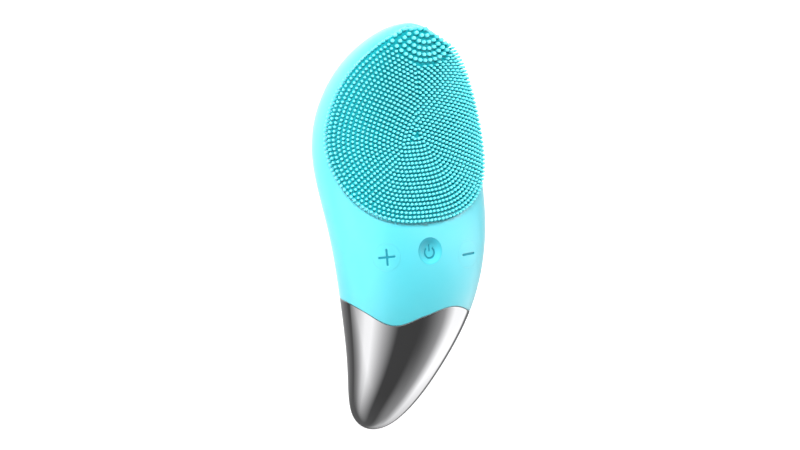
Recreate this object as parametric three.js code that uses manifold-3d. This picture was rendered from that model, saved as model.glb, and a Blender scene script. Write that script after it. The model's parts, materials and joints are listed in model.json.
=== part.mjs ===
// Facial cleansing brush: a silicone-skinned sonic brush with a chromed tail.
//
// Millimetres. +Y runs from the tail to the head, +Z out of the bristle face, X across.
// The body lies on its back: the flat of the charging island and the back of the tail
// touch z = 0, and the origin is the middle of the footprint.
//
// The whole body follows one surface. It is a row of super-elliptical sections along a bent
// spine, and a "lift" moves a point off that surface along its normal. The sleeve, the
// bristle pad, the chromed tail, the core shells and the seals are all lofts of it.

import * as THREE from 'three';
import { mergeVertices } from 'three/addons/utils/BufferGeometryUtils.js';
import Module from 'manifold-3d';

const wasm = await Module();
wasm.setup();

// ---------------------------------------------------------------- driving dimensions

const tailEnd = -71.3;
const headEnd = 69.6;
const clearance = 0.3;

// Control values of cubic B-splines, evenly spaced in turn from the tail tip to the apex.
const fullness = [26, 24.5, 22, 26, 28.5, 33.5, 35, 36, 30];
const flatness = [0.6, 0.62, 0.62, 0.56, 0.52, 0.52, 0.52, 0.54, 0.58];
const spine = [-24.5, -23, -11, 0, 1, -12.5, -10.5, -3, -1];
const squareness = 2.4;

const sleeveThickness = 1.5;
const coreFit = 0.45;
const coreWall = 1.8;
const coreOutside = -sleeveThickness - coreFit;
const coreInside = coreOutside - coreWall;
const cavityEnd = 60;

const spigot = { start: -52, end: -35, outside: -3.2, inside: -4.8 };
const seal = { start: -46, end: -43.5 };
const partingGap = 0.65;
const gasketHalfThickness = partingGap - clearance;

// The pad's outline is an egg in height and angle. It is turned a little toward -X from the
// front, and tilted so that its foot turns further and its top less.
const pad = { middle: 35, halfLength: 33.2, halfAngle: 1.24, turned: 0.06, tilt: 0.09, radius: 25 };
const padSquareness = { upper: 2.85, lower: 2 };
const padTop = 2.9;
const padShoulder = 1.7;
const padRecess = -0.7;

const keyRow = [
  { name: 'plus', x: -16, y: -9.2 },
  { name: 'power', x: 0, y: -7.5 },
  { name: 'minus', x: 16, y: -9.2 },
];
const key = { radius: 4.7, thickness: 1.1, stemRadius: 1.7, travel: 0.5 };
const dish = { radius: 4.3, depth: 0.7 };

const board = { top: 4, thickness: 1.2, halfWidth: 19.5, start: -18, end: 4, corner: 3 };
const keySwitch = { side: 5.2, height: 1.8, bore: 1.6, floor: 0.4 };
const plunger = { radius: 1.3, start: 5.5, end: 6.8 };

const island = { y: 33, radius: 9, contactOffset: 4 };
const contact = { radius: 1.2, headTop: -22.6, tailRadius: 0.7, tailTop: -20.1, hole: 1.5 };
const holder = { bottom: -21.8, width: 13, length: 6, height: 1.6, hole: 1 };
const magnet = { offset: 10.5, bottom: -21.1, top: -19.7, radius: 2 };
const screwPlaces = [[-20.5, 12], [20.5, 12], [-15, 49], [15, 49]];
const screw = { headRadius: 2.1, headHeight: 1.5, shankRadius: 1, length: 13, seatHeight: 6 };
const boss = { frontRadius: 2.9, rearRadius: 3.4, pilotStart: -5, pilotEnd: 8 };
const boardPost = { radius: 1.5, inset: 5.5, endInset: 2.5 };

const battery = { start: 17.5, end: 45, halfWidth: 12, bottom: -18.4, top: -12.8 };
const motor = { y: 34, z: -5.7, radius: 4.5, start: -9, end: 5 };
const cradle = { middle: -2, length: 18, width: 14, floor: 1, ribs: [-6.5, 2.5], ribThickness: 2 };
const motorSleeveWall = 1.1;
const shaft = { radius: 0.75, bore: 1.05, start: -4, end: 13 };
const weight = { start: 7, thickness: 5, radius: 4.1, hubRadius: 2 };

// ---------------------------------------------------------------- materials

function material(color, roughness, metalness = 0) {
  return new THREE.MeshStandardMaterial({ color, roughness, metalness });
}

const silicone = material(0x7be9f4, 0.45);
const bristleSilicone = material(0x4fdde6, 0.5);
const chromePlate = material(0x8f8f94, 0.08, 1);
const whitePlastic = material(0xe9edee, 0.5);
const blackPlastic = material(0x202225, 0.55);
const sealRubber = material(0x2c2f33, 0.8);
const boardGreen = material(0x1d6b43, 0.6);
const steel = material(0xb9bcc0, 0.3, 1);
const gold = material(0xd8ad55, 0.25, 1);
const foam = material(0x4a4d52, 0.95);
const cellWrap = material(0xb8c4cf, 0.35);
const redPlastic = material(0xc23a34, 0.5);
const lampPlastic = material(0xf4f6ff, 0.2);

// A height or depth that is past every part of the body.
const beyond = 60;

// ---------------------------------------------------------------- the body surface

const middleY = (tailEnd + headEnd) / 2;
const halfLength = (headEnd - tailEnd) / 2;

/** A clamped uniform cubic B-spline through its first and last control values. */
function spline(controls, at) {
  const last = controls.length - 1;
  const place = Math.min(Math.max(at, 0), 1) * last;
  const index = Math.min(Math.floor(place), last - 1);
  const f = place - index;
  const before = index > 0 ? controls[index - 1] : 2 * controls[0] - controls[1];
  const after = index + 2 <= last ? controls[index + 2] : 2 * controls[last] - controls[last - 1];
  return (
    (before * (1 - f) ** 3 +
      controls[index] * (3 * f ** 3 - 6 * f ** 2 + 4) +
      controls[index + 1] * (-3 * f ** 3 + 3 * f ** 2 + 3 * f + 1) +
      after * f ** 3) / 6
  );
}

/** Turn runs from 0 at the tail tip to pi at the apex of the head. */
function turnAt(y) {
  return Math.acos(THREE.MathUtils.clamp((middleY - y) / halfLength, -1, 1));
}

function section(turn) {
  const along = turn / Math.PI;
  const width = spline(fullness, along) * Math.sin(turn);
  return {
    y: middleY - halfLength * Math.cos(turn),
    width,
    depth: width * spline(flatness, along),
    rise: spline(spine, along),
  };
}

function signedPower(value, power) {
  return Math.sign(value) * Math.abs(value) ** power;
}

/** Angle 0 is the +X side, a quarter turn is the front and a half turn is the -X side. */
function bareSurface(turn, angle) {
  const { y, width, depth, rise } = section(turn);
  const x = width * signedPower(Math.cos(angle), 2 / squareness);
  const z = rise + depth * signedPower(Math.sin(angle), 2 / squareness);
  return new THREE.Vector3(x, y, z);
}

function surface(turn, angle, lift = 0) {
  const point = bareSurface(turn, angle);
  const step = 1e-3;
  const along = bareSurface(turn + step, angle).sub(bareSurface(turn - step, angle));
  const across = bareSurface(turn, angle + step).sub(bareSurface(turn, angle - step));
  return point.addScaledVector(along.cross(across).normalize(), lift);
}

/** Height of the skin above or below the spine at a place in the plan view. */
function skinHeight(x, y, side) {
  const { width, depth, rise } = section(turnAt(y));
  return rise + side * depth * (1 - (Math.abs(x) / width) ** squareness) ** (1 / squareness);
}

/** The wavy seam between the sleeve and the tail, as a height along Y for each angle. */
function seamHeight(angle) {
  const width = THREE.MathUtils.degToRad(25);
  const centre = THREE.MathUtils.degToRad(92);
  const turned = THREE.MathUtils.euclideanModulo(angle - centre + Math.PI, 2 * Math.PI);
  const away = (turned - Math.PI) / width;
  const step = away * Math.exp((1 - away ** 2) / 2);
  const swing = -2.5 * Math.cos(angle) - 2.1 * Math.sin(angle);
  const ripple = 0.6 * Math.cos(2 * angle) + 0.9 * Math.sin(2 * angle);
  return -27.8 + swing + ripple - 3.4 * step;
}

// ---------------------------------------------------------------- meshes and solids

function closedMesh(points, faces) {
  const geometry = new THREE.BufferGeometry();
  const position = new Float32Array(points.flatMap((p) => [p.x, p.y, p.z]));
  geometry.setAttribute('position', new THREE.BufferAttribute(position, 3));
  geometry.setIndex(faces.flat());
  geometry.computeVertexNormals();
  return geometry;
}

/** Joins rings of equal length into a closed mesh, with a point at each end. */
function stackRings(rings, first, last) {
  const count = rings[0].length;
  const points = rings.flat();
  const faces = [];
  const corner = (ring, index) => ring * count + (index % count);
  for (let ring = 0; ring + 1 < rings.length; ring += 1) {
    for (let i = 0; i < count; i += 1) {
      faces.push([corner(ring, i), corner(ring + 1, i + 1), corner(ring, i + 1)]);
      faces.push([corner(ring, i), corner(ring + 1, i), corner(ring + 1, i + 1)]);
    }
  }
  const start = points.push(first) - 1;
  const end = points.push(last) - 1;
  for (let i = 0; i < count; i += 1) {
    faces.push([start, corner(0, i), corner(0, i + 1)]);
    faces.push([end, corner(rings.length - 1, i + 1), corner(rings.length - 1, i)]);
  }
  return closedMesh(points, faces);
}

function middleOf(ring) {
  const sum = ring.reduce((total, point) => total.add(point), new THREE.Vector3());
  return sum.divideScalar(ring.length);
}

/**
 * A closed piece of the body between two heights, which may be functions of the angle.
 * Without a height it closes on the tail tip or on the apex.
 */
function loft({ lift = 0, from, to, around = 32, steps = 20 }) {
  const heightAt = (height, angle) => (typeof height === 'function' ? height(angle) : height);
  const startTurn = (angle) => (from === undefined ? 0 : turnAt(heightAt(from, angle)));
  const endTurn = (angle) => (to === undefined ? Math.PI : turnAt(heightAt(to, angle)));
  const rings = [];
  const firstRing = from === undefined ? 1 : 0;
  const lastRing = to === undefined ? steps - 1 : steps;
  for (let ring = firstRing; ring <= lastRing; ring += 1) {
    const points = [];
    for (let i = 0; i < around; i += 1) {
      const angle = (i / around) * 2 * Math.PI;
      const turn = THREE.MathUtils.lerp(startTurn(angle), endTurn(angle), ring / steps);
      points.push(surface(turn, angle, lift));
    }
    rings.push(points);
  }
  const pole = (turn, way) => bareSurface(turn, 0).add(new THREE.Vector3(0, way * lift, 0));
  const first = from === undefined ? pole(0, -1) : middleOf(rings[0]);
  const last = to === undefined ? pole(Math.PI, 1) : middleOf(rings[rings.length - 1]);
  return solidOf(stackRings(rings, first, last));
}

function solidOf(geometry) {
  const bare = geometry.clone();
  bare.deleteAttribute('normal');
  bare.deleteAttribute('uv');
  const merged = mergeVertices(bare);
  const vertProperties = new Float32Array(merged.attributes.position.array);
  const triVerts = new Uint32Array(merged.index.array);
  return new wasm.Manifold(new wasm.Mesh({ numProp: 3, vertProperties, triVerts }));
}

function geometryOf(solid) {
  const { vertProperties, triVerts } = solid.getMesh();
  const geometry = new THREE.BufferGeometry();
  geometry.setAttribute('position', new THREE.BufferAttribute(new Float32Array(vertProperties), 3));
  geometry.setIndex(new THREE.BufferAttribute(new Uint32Array(triVerts), 1));
  geometry.computeVertexNormals();
  return geometry;
}

/** An upright round post between two heights. */
function post(x, y, bottom, top, radius, sides = 18) {
  const geometry = new THREE.CylinderGeometry(radius, radius, top - bottom, sides);
  geometry.rotateX(Math.PI / 2);
  geometry.translate(x, y, (top + bottom) / 2);
  return geometry;
}

/** A round bar along X between two places. */
function bar(y, z, start, end, radius, sides = 18) {
  const geometry = new THREE.CylinderGeometry(radius, radius, end - start, sides);
  geometry.rotateZ(Math.PI / 2);
  geometry.translate((start + end) / 2, y, z);
  return geometry;
}

function block(centreX, centreY, bottom, width, length, height) {
  const geometry = new THREE.BoxGeometry(width, length, height);
  geometry.translate(centreX, centreY, bottom + height / 2);
  return geometry;
}

/** All space above or below the parting surface, which follows the spine. */
function halfSpace(side, gap) {
  const margin = 5;
  const steps = 40;
  const outline = new THREE.Shape();
  outline.moveTo(tailEnd - margin, side * beyond);
  outline.lineTo(tailEnd - margin, spine[0] + side * gap);
  for (let i = 1; i < steps; i += 1) {
    const { y, rise } = section((i / steps) * Math.PI);
    outline.lineTo(y, rise + side * gap);
  }
  outline.lineTo(headEnd + margin, spine[spine.length - 1] + side * gap);
  outline.lineTo(headEnd + margin, side * beyond);
  const geometry = new THREE.ExtrudeGeometry(outline, { depth: 2 * beyond, bevelEnabled: false });
  geometry.translate(0, 0, -beyond);
  const alongX = new THREE.Vector3(1, 0, 0);
  const alongY = new THREE.Vector3(0, 1, 0);
  const alongZ = new THREE.Vector3(0, 0, 1);
  geometry.applyMatrix4(new THREE.Matrix4().makeBasis(alongY, alongZ, alongX));
  return solidOf(geometry);
}

/** A round wire along a smooth curve through its points. */
function wire(points, radius = 0.55) {
  const path = new THREE.CatmullRomCurve3(points.map((p) => new THREE.Vector3(...p)));
  const shape = new THREE.Shape().absarc(0, 0, radius, 0, 2 * Math.PI);
  const options = { steps: 12, curveSegments: 4, extrudePath: path, bevelEnabled: false };
  return new THREE.ExtrudeGeometry(shape, options);
}

// ---------------------------------------------------------------- skin, pad and tail

/**
 * The pad between two lifts: an egg on the head, its upper edge rounded to the shoulder.
 * It can be grown all round to cut its own pocket; the pad radius turns a gap into an angle.
 */
function padSolid({ bottom, top, shoulder, grow = 0 }) {
  const around = 48;
  const padPoint = (share, angle, lift) => {
    const power = 2 / (Math.sin(angle) > 0 ? padSquareness.upper : padSquareness.lower);
    const reach = pad.halfLength + grow;
    const spread = pad.halfAngle + grow / pad.radius;
    const up = share * signedPower(Math.sin(angle), power);
    const swing = share * spread * signedPower(Math.cos(angle), power);
    const front = Math.PI / 2 + pad.turned - pad.tilt * up;
    return surface(turnAt(pad.middle + reach * up), front - swing, lift);
  };
  const rounding = top - shoulder;
  const ladder = [
    ...[0.3, 0.6, 0.85, 1].map((share) => [share, bottom]),
    [1, shoulder],
    [0.985, shoulder + 0.65 * rounding],
    ...[0.955, 0.85, 0.7, 0.5, 0.25].map((share) => [share, top]),
  ];
  const rings = ladder.map(([share, lift]) => {
    const ring = [];
    for (let i = 0; i < around; i += 1) {
      ring.push(padPoint(share, (-i / around) * 2 * Math.PI, lift));
    }
    return ring;
  });
  return solidOf(stackRings(rings, padPoint(0, 0, bottom), padPoint(0, 0, top)));
}

function tailCap() {
  const outside = loft({ to: (angle) => seamHeight(angle) - clearance / 2, steps: 10 });
  const inside = loft({ lift: -sleeveThickness, to: -18, steps: 10 });
  return outside.subtract(inside);
}

const tail = tailCap();
const tableHeight = geometryOf(tail).attributes.position.array
  .filter((_, index) => index % 3 === 2)
  .reduce((lowest, z) => Math.min(lowest, z), Infinity);

function siliconeSleeve() {
  const outside = loft({ from: (angle) => seamHeight(angle) + clearance / 2, steps: 17 });
  const inside = loft({ lift: -sleeveThickness, from: -50, steps: 16 });
  const footTop = skinHeight(0, island.y, -1) + sleeveThickness;
  const foot = solidOf(post(0, island.y, tableHeight, footTop, island.radius, 32));
  let sleeve = outside.add(foot).subtract(inside);
  const pocket = { bottom: padRecess, top: 2 * padTop, shoulder: 2 * padShoulder, grow: clearance };
  sleeve = sleeve.subtract(padSolid(pocket));
  for (const { x, y } of keyRow) {
    sleeve = sleeve.subtract(solidOf(post(x, y, 0, beyond, key.radius + clearance, 24)));
  }
  for (const side of [-1, 1]) {
    const hole = post(side * island.contactOffset, island.y, -beyond, 0, contact.hole, 14);
    sleeve = sleeve.subtract(solidOf(hole));
  }
  return sleeve;
}

// ---------------------------------------------------------------- core shells and seals

function coreBlank() {
  const main = loft({ lift: coreOutside, from: spigot.end, around: 24, steps: 14 });
  const neck = loft({
    lift: spigot.outside, from: spigot.start, to: spigot.end + 3, around: 24, steps: 4,
  });
  return main.add(neck);
}

function coreCavity() {
  const main = loft({ lift: coreInside, from: spigot.end + 3, to: cavityEnd, around: 24, steps: 12 });
  const neck = loft({
    lift: spigot.inside, from: spigot.start - 4, to: spigot.end + 6, around: 24, steps: 4,
  });
  return main.add(neck);
}

const blank = coreBlank();
const cavity = coreCavity();

function trimmed(geometry) {
  return solidOf(geometry).intersect(blank);
}

/** Posts that hold the board, under or over its corners. */
function boardPosts(bottom, top) {
  const { radius, inset, endInset } = boardPost;
  const across = board.halfWidth - inset;
  const posts = [];
  for (const x of [-across, across]) {
    for (const y of [board.start + endInset, board.end - endInset]) {
      posts.push(trimmed(post(x, y, bottom, top, radius, 12)));
    }
  }
  return posts;
}

function coreFrontShell() {
  let shell = blank.subtract(cavity);
  for (const [x, y] of screwPlaces) {
    shell = shell.add(trimmed(post(x, y, -beyond, beyond, boss.frontRadius)));
  }
  for (const stud of boardPosts(board.top + clearance, beyond)) {
    shell = shell.add(stud);
  }
  shell = shell.intersect(halfSpace(1, partingGap));
  for (const [x, y] of screwPlaces) {
    const { rise } = section(turnAt(y));
    const radius = screw.shankRadius + clearance;
    const pilot = post(x, y, rise + boss.pilotStart, rise + boss.pilotEnd, radius, 12);
    shell = shell.subtract(solidOf(pilot));
  }
  for (const { x, y } of keyRow) {
    shell = shell.subtract(solidOf(post(x, y, 0, beyond, key.stemRadius + clearance, 14)));
  }
  return shell;
}

/** The face in the rear shell that a screw head bears on. */
function screwSeat(x, y) {
  return skinHeight(x, y, -1) + screw.seatHeight;
}

function coreRearShell() {
  let shell = blank.subtract(cavity);
  for (const [x, y] of screwPlaces) {
    shell = shell.add(trimmed(post(x, y, -beyond, beyond, boss.rearRadius)));
  }
  shell = shell.intersect(halfSpace(-1, partingGap));
  for (const stud of boardPosts(-beyond, board.top - board.thickness - clearance)) {
    shell = shell.add(stud);
  }
  for (const [x, y] of screwPlaces) {
    const bore = post(x, y, -beyond, beyond, screw.shankRadius + clearance, 12);
    const counterbore = post(x, y, -beyond, screwSeat(x, y), screw.headRadius + clearance, 16);
    shell = shell.subtract(solidOf(bore)).subtract(solidOf(counterbore));
  }
  for (const side of [-1, 1]) {
    const hole = post(side * island.contactOffset, island.y, -beyond, motor.z, contact.hole, 14);
    shell = shell.subtract(solidOf(hole));
  }
  return shell;
}

function housingGasket() {
  const outside = loft({ lift: coreOutside - 0.1, from: spigot.end + 1, around: 24, steps: 14 });
  const inside = loft({
    lift: coreInside + 0.1, from: spigot.end - 5, to: cavityEnd, around: 24, steps: 12,
  });
  return outside
    .subtract(inside)
    .intersect(halfSpace(1, -gasketHalfThickness))
    .intersect(halfSpace(-1, -gasketHalfThickness));
}

function tailSeal() {
  const outside = loft({
    lift: coreOutside, from: seal.start, to: seal.end, around: 24, steps: 2,
  });
  const inside = loft({
    lift: spigot.outside + clearance, from: seal.start - 2, to: seal.end + 2, around: 24, steps: 3,
  });
  return outside.subtract(inside);
}

function screwGeometry(x, y) {
  const { headRadius, headHeight, shankRadius, length } = screw;
  const profile = [
    [0, -headHeight], [headRadius, -headHeight], [headRadius, 0],
    [shankRadius, 0], [shankRadius, length - 1], [0, length],
  ].map(([radius, height]) => new THREE.Vector2(radius, height));
  const geometry = new THREE.LatheGeometry(profile, 14);
  geometry.rotateX(Math.PI / 2);
  geometry.translate(x, y, screwSeat(x, y) - clearance);
  return geometry;
}

// ---------------------------------------------------------------- keys, board and switches

/** A key cap that follows the skin, with its stem down to the switch. */
function keyButton({ name, x, y }) {
  const disc = solidOf(post(x, y, 0, beyond, key.radius, 24));
  let cap = disc.intersect(loft({ from: -30, to: 15, steps: 12 }));
  cap = cap.subtract(loft({ lift: -key.thickness, from: -35, to: 20, steps: 14 }));
  const top = skinHeight(x, y, 1);
  const stem = post(x, y, plunger.end + clearance, top - key.thickness + 0.4, key.stemRadius, 14);
  cap = cap.add(solidOf(stem));
  if (name === 'power') {
    const reach = (dish.radius ** 2 + dish.depth ** 2) / (2 * dish.depth);
    const ball = new THREE.SphereGeometry(reach, 40, 28);
    ball.rotateX(Math.PI / 2);
    ball.translate(x, y, top - dish.depth + reach);
    cap = cap.subtract(solidOf(ball));
  }
  return cap;
}

function switchBody({ x, y }) {
  const base = board.top + clearance;
  const body = solidOf(block(x, y, base, keySwitch.side, keySwitch.side, keySwitch.height));
  return body.subtract(solidOf(post(x, y, base + keySwitch.floor, 12, keySwitch.bore, 14)));
}

function circuitBoard() {
  const { halfWidth, start, end, corner } = board;
  const outline = new THREE.Shape();
  outline.absarc(halfWidth - corner, end - corner, corner, 0, Math.PI / 2);
  outline.absarc(corner - halfWidth, end - corner, corner, Math.PI / 2, Math.PI);
  outline.absarc(corner - halfWidth, start + corner, corner, Math.PI, 1.5 * Math.PI);
  outline.absarc(halfWidth - corner, start + corner, corner, 1.5 * Math.PI, 2 * Math.PI);
  const options = { depth: board.thickness, bevelEnabled: false, curveSegments: 4 };
  const geometry = new THREE.ExtrudeGeometry(outline, options);
  geometry.translate(0, 0, board.top - board.thickness);
  return geometry;
}

// ---------------------------------------------------------------- power and motor

function chargeContact(side) {
  const x = side * island.contactOffset;
  const face = tableHeight + clearance;
  const head = solidOf(post(x, island.y, face, contact.headTop, contact.radius, 14));
  return head.add(solidOf(post(x, island.y, face, contact.tailTop, contact.tailRadius, 10)));
}

function contactHolder() {
  let plate = solidOf(block(0, island.y, holder.bottom, holder.width, holder.length, holder.height));
  for (const side of [-1, 1]) {
    const hole = post(side * island.contactOffset, island.y, -beyond, 0, holder.hole, 12);
    plate = plate.subtract(solidOf(hole));
  }
  return plate;
}

function batteryCell() {
  const { start, end, halfWidth, bottom, top } = battery;
  const radius = (top - bottom) / 2;
  const outline = new THREE.Shape();
  outline.absarc(halfWidth - radius, 0, radius, -Math.PI / 2, Math.PI / 2);
  outline.absarc(radius - halfWidth, 0, radius, Math.PI / 2, 1.5 * Math.PI);
  const options = { depth: end - start, bevelEnabled: false, curveSegments: 6 };
  const geometry = new THREE.ExtrudeGeometry(outline, options);
  geometry.rotateX(-Math.PI / 2);
  geometry.translate(0, start, (top + bottom) / 2);
  return geometry;
}

function motorCan() {
  const can = solidOf(bar(motor.y, motor.z, motor.start, motor.end, motor.radius, 20));
  return can.subtract(solidOf(bar(motor.y, motor.z, shaft.start - 1, beyond, shaft.bore, 12)));
}

function motorSleeve() {
  const radius = motor.radius + motorSleeveWall;
  const outside = solidOf(bar(motor.y, motor.z, motor.start + 1, motor.end - 1, radius, 20));
  const bore = bar(motor.y, motor.z, -beyond, beyond, motor.radius + clearance, 20);
  return outside.subtract(solidOf(bore));
}

function motorCradle() {
  const { middle, length, width, floor, ribs, ribThickness } = cradle;
  const bottom = battery.top + clearance;
  let solid = solidOf(block(middle, motor.y, bottom, length, width, floor));
  for (const x of ribs) {
    const rib = block(x, motor.y, bottom + floor / 2, ribThickness, width, motor.z - bottom);
    solid = solid.add(solidOf(rib));
  }
  const radius = motor.radius + motorSleeveWall + clearance;
  return solid.subtract(solidOf(bar(motor.y, motor.z, -beyond, beyond, radius, 20)));
}

/** A half disc with a hub, which shakes the brush as it spins. */
function eccentricWeight() {
  const outline = new THREE.Shape();
  outline.absarc(0, 0, weight.radius, -Math.PI, 0);
  outline.absarc(0, 0, weight.hubRadius, 0, Math.PI);
  outline.holes.push(new THREE.Path().absarc(0, 0, shaft.bore, 0, 2 * Math.PI));
  const options = { depth: weight.thickness, bevelEnabled: false, curveSegments: 12 };
  const geometry = new THREE.ExtrudeGeometry(outline, options);
  geometry.rotateX(Math.PI / 2);
  geometry.rotateZ(Math.PI / 2);
  geometry.translate(weight.start, motor.y, motor.z);
  return geometry;
}

/** Each battery wire runs from the cell's end up to the connector under the board. */
function batteryWire(side) {
  return wire([
    [side * 2.5, battery.start - 0.6, (battery.top + battery.bottom) / 2],
    [side * 3, 12, -12],
    [side * 2, 6, -3],
    [side * 1.4, 3.1, 0.6],
    [side * 1.4, 2.4, 0.9],
  ]);
}

/** Each motor wire runs from the end cap down the core to its own place on the board. */
function motorWire(capOffset, boardX, sag) {
  return wire([
    [motor.start - 2.8, motor.y + capOffset, motor.z],
    [boardX - 5.5 - sag, motor.y - 3 - 2 * sag, motor.z + 1.5],
    [boardX - 3.2, 19.5, -1.8],
    [boardX, 8, 2.5],
    [boardX, 4.6, 3.4],
  ]);
}

// ---------------------------------------------------------------- assembly

const group = new THREE.Group();

function place(name, shape, look) {
  const geometry = shape.isBufferGeometry ? shape : geometryOf(shape);
  const mesh = new THREE.Mesh(geometry, look);
  mesh.name = name;
  group.add(mesh);
}

place('silicone_sleeve', siliconeSleeve(), silicone);
const padShape = { bottom: padRecess + clearance, top: padTop, shoulder: padShoulder };
place('bristle_pad', padSolid(padShape), bristleSilicone);
place('tail_cap', tail, chromePlate);
place('tail_seal', tailSeal(), sealRubber);
place('core_front_shell', coreFrontShell(), whitePlastic);
place('core_rear_shell', coreRearShell(), whitePlastic);
place('housing_gasket', housingGasket(), sealRubber);

for (const entry of keyRow) {
  place(`${entry.name}_button`, keyButton(entry), silicone);
  place(`${entry.name}_switch`, switchBody(entry), blackPlastic);
  const rod = post(entry.x, entry.y, plunger.start, plunger.end, plunger.radius, 14);
  place(`${entry.name}_switch_plunger`, rod, redPlastic);
}

screwPlaces.forEach(([x, y], index) => {
  place(`housing_screw_${index + 1}`, screwGeometry(x, y), steel);
});

const underBoard = board.top - board.thickness - clearance;
place('circuit_board', circuitBoard(), boardGreen);
place('control_chip', block(8, -8, underBoard - 1, 5, 5, 1), blackPlastic);
place('wire_connector', block(0, 0, underBoard - 3, 6, 4, 3), whitePlastic);
place('indicator_lamp', block(0, -14, board.top + clearance, 2, 1.4, 0.9), lampPlastic);

place('battery_cell', batteryCell(), cellWrap);
place('battery_foam', block(0, 31, battery.bottom - clearance - 0.8, 16, 22, 0.8), foam);
place('contact_holder', contactHolder(), blackPlastic);
for (const [hand, side] of [['left', -1], ['right', 1]]) {
  place(`charge_contact_${hand}`, chargeContact(side), gold);
  const x = side * magnet.offset;
  const disc = post(x, island.y, magnet.bottom, magnet.top, magnet.radius, 16);
  place(`charge_magnet_${hand}`, disc, steel);
}

place('motor_can', motorCan(), steel);
const endCap = bar(motor.y, motor.z, motor.start - 2, motor.start - clearance, 4.1, 20);
place('motor_end_cap', endCap, whitePlastic);
place('motor_sleeve', motorSleeve(), sealRubber);
place('motor_cradle', motorCradle(), blackPlastic);
place('motor_shaft', bar(motor.y, motor.z, shaft.start, shaft.end, shaft.radius, 12), steel);
place('eccentric_weight', eccentricWeight(), steel);

place('battery_wire_red', batteryWire(1), redPlastic);
place('battery_wire_black', batteryWire(-1), blackPlastic);
place('motor_wire_red', motorWire(1.5, -9, 0), redPlastic);
place('motor_wire_black', motorWire(-1.5, -6, 1), blackPlastic);

const box = new THREE.Box3().setFromObject(group);
const footprint = box.getCenter(new THREE.Vector3());
group.position.set(-footprint.x, -footprint.y, -box.min.z);

export default group;
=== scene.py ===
"""Facial cleansing brush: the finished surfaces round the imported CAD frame.

Lengths in the shape code are millimetres in the body's own frame, in which y = 0 lies near
the lower edge of the bristle pad and z = 0 on the spine at the neck. to_row() moves them
into the row frame in metres. The skin, pad, tail and keys all lie on one lofted surface.
"""

import json
import math

import bmesh
import bpy
import numpy as np
from mathutils import Matrix, Vector, kdtree
from mathutils.geometry import delaunay_2d_cdt


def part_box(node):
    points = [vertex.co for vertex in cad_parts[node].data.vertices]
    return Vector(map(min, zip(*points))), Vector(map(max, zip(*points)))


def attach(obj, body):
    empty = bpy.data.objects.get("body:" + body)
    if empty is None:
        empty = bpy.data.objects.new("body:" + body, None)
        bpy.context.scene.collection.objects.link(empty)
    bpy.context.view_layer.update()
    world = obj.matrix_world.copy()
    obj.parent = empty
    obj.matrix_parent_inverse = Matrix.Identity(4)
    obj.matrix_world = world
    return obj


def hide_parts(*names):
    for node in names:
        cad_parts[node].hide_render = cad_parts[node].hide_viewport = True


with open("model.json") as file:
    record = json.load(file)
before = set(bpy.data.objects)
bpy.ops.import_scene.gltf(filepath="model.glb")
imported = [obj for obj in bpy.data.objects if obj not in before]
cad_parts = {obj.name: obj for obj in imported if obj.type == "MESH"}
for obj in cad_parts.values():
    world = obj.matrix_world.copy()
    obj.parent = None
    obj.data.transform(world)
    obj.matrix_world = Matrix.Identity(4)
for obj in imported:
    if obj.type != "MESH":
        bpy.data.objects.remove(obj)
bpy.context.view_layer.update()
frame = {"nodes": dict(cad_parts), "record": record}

# ------------------------------------------------------------------ driving dimensions

# The top of the power key's plunger in the body's own frame, which ties it to the row frame.
POWER_PLUNGER_TOP = Vector((0.0, -7.5, 6.8))

# The body at equal steps of turn, from the tail tip to the apex of the head: how full its
# sections are, their depth as a share of their width, and the height of their middle.
FULLNESS = np.array([26, 24.5, 22, 26, 28.5, 33.5, 35, 36, 30])
FLATNESS = np.array([0.6, 0.62, 0.62, 0.56, 0.52, 0.52, 0.52, 0.54, 0.58])
SPINE = np.array([-24.5, -23, -11, 0, 1, -12.5, -10.5, -3, -1])
SQUARENESS = 2.4

# Lifts are heights over the body's surface, and negative ones lie under it.
SLEEVE_INSIDE = -1.4
PAD_FLOOR = -0.6
PAD_SKIN = 0.75

# The pad is an egg on that surface, swung a little to -X at its foot and to +X at its top.
# Its half angle is measured round a section, and the radius turns an edge's growth into one.
PAD = {"middle": 35, "half_length": 33.2, "half_angle": 1.24, "turned": 0.06, "tilt": 0.09,
       "radius": 25}
PAD_SQUARENESS = {"upper": 2.85, "lower": 2}
PAD_EDGE_LENGTH = 230

# The seam's middle height, and how far and how widely it waves about an angle on the front.
SEAM_MIDDLE = -27.8
SEAM_WAVE = 3.4
SEAM_WAVE_WIDTH = math.radians(25)
SEAM_WAVE_ANGLE = math.radians(92)

# Each bristle's outline is (radius, height) pairs from its foot to its tip. The fine ones
# stand in rings, a pitch apart. The thick ones stand in arcs round a point at the apex, a
# little to its +X side.
FINE_PROFILE = [(0.54, 0), (0.49, 0.5), (0.465, 1.3), (0.455, 1.8), (0.41, 2.07), (0.25, 2.25),
                (0, 2.3)]
THICK_PROFILE = [(0.8, 0), (0.71, 0.45), (0.68, 1.2), (0.66, 1.7), (0.57, 2.06), (0.33, 2.3),
                 (0, 2.38)]
FINE_PITCH = 1.43
FINE_SPACING = FINE_PITCH * 1.07
FINE_EDGE = 0.52
THICK_PITCH = 1.95
THICK_EDGE = 0.75
THICK_REACH = 14.6
THICK_CENTRE = 3.5
THICK_CLEARANCE = 0.5 * (FINE_PITCH + THICK_PITCH) * 0.92
BRISTLE_SUNK = 0.15
BRISTLE_LEAN = 0.015
BRISTLE_STRETCH = 0.012

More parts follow.
